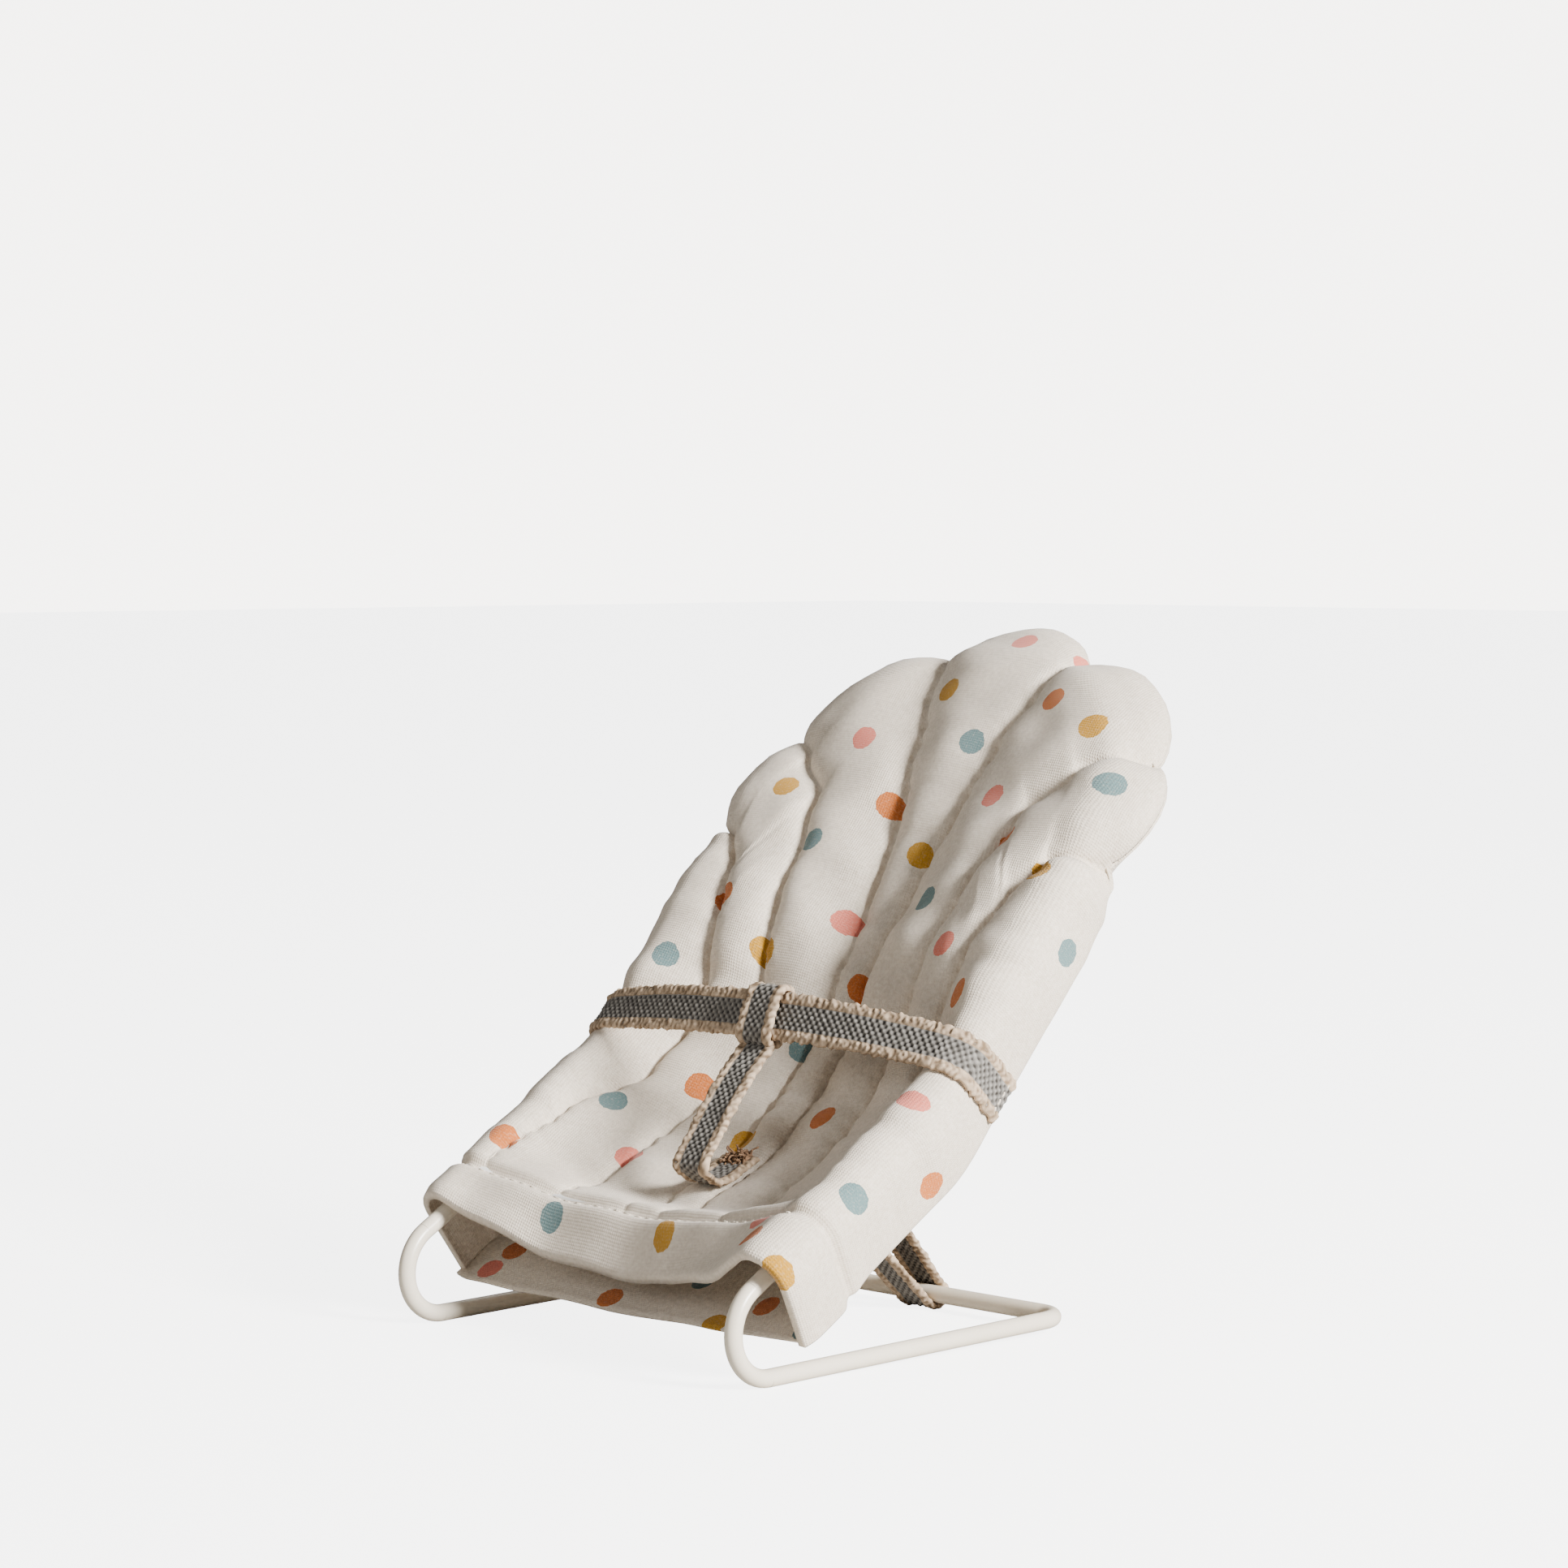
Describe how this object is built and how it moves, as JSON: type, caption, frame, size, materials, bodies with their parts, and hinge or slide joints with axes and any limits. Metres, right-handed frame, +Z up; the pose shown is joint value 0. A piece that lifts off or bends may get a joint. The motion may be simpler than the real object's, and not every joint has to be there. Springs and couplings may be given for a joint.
{
  "type": "doll bouncer seat",
  "caption": "Doll-size bouncer seat: a bent wire frame springs at its front bends and carries a quilted shell-shaped fabric sling with a waist belt and a crotch strap.",
  "frame": {"origin": "middle of the object's footprint, on the floor it stands on", "axes": "+X across the seat towards its left as seated, which is the near side in the picture; +Y from the front bends towards the head end; +Z up"},
  "size_m": [0.0978, 0.1192, 0.1176],
  "materials": {
    "frame_paint": "satin cream paint",
    "printed_cotton": "plain weave cotton with a print of small spots",
    "plain_cotton": "undyed plain weave cotton",
    "wadding": "soft white fibre wadding",
    "jute_tape": "woven tape, grey core and jute edges",
    "thread": "undyed sewing thread"
  },
  "bodies": {
    "base": {"base_wire": "frame_paint", "left_spring_bend": "frame_paint", "right_spring_bend": "frame_paint", "rear_stay": "jute_tape"},
    "seat": {"seat_wire": "frame_paint", "quilted_cover": "printed_cotton", "wadding": "wadding", "quilt_lining": "plain_cotton", "backing_panel": "printed_cotton", "waist_belt": "jute_tape", "crotch_strap": "jute_tape", "quilting_threads": "thread", "edge_threads": "thread", "cover_hem_thread": "thread", "backing_hem_thread": "thread", "belt_tacks": "thread", "crotch_tack": "thread", "stay_tack": "thread"},
    "crotch_loop": {"crotch_loop": "jute_tape"}
  },
  "joints": [
    {"name": "bounce", "type": "hinge", "parent": "base", "child": "seat", "pos_m": [0, -0.05016, 0.009], "axis": [1, 0, 0], "range_deg": [-6, 0], "stiffness_Nm_per_rad": 0.5, "springref_deg": 8.59, "deforming": ["left_spring_bend", "right_spring_bend", "rear_stay"]},
    {"name": "loop_slide", "type": "slide", "parent": "seat", "child": "crotch_loop", "axis": [1, 0, 0], "range_m": [-0.008, 0.008], "deforming": ["crotch_strap"]}
  ]
}
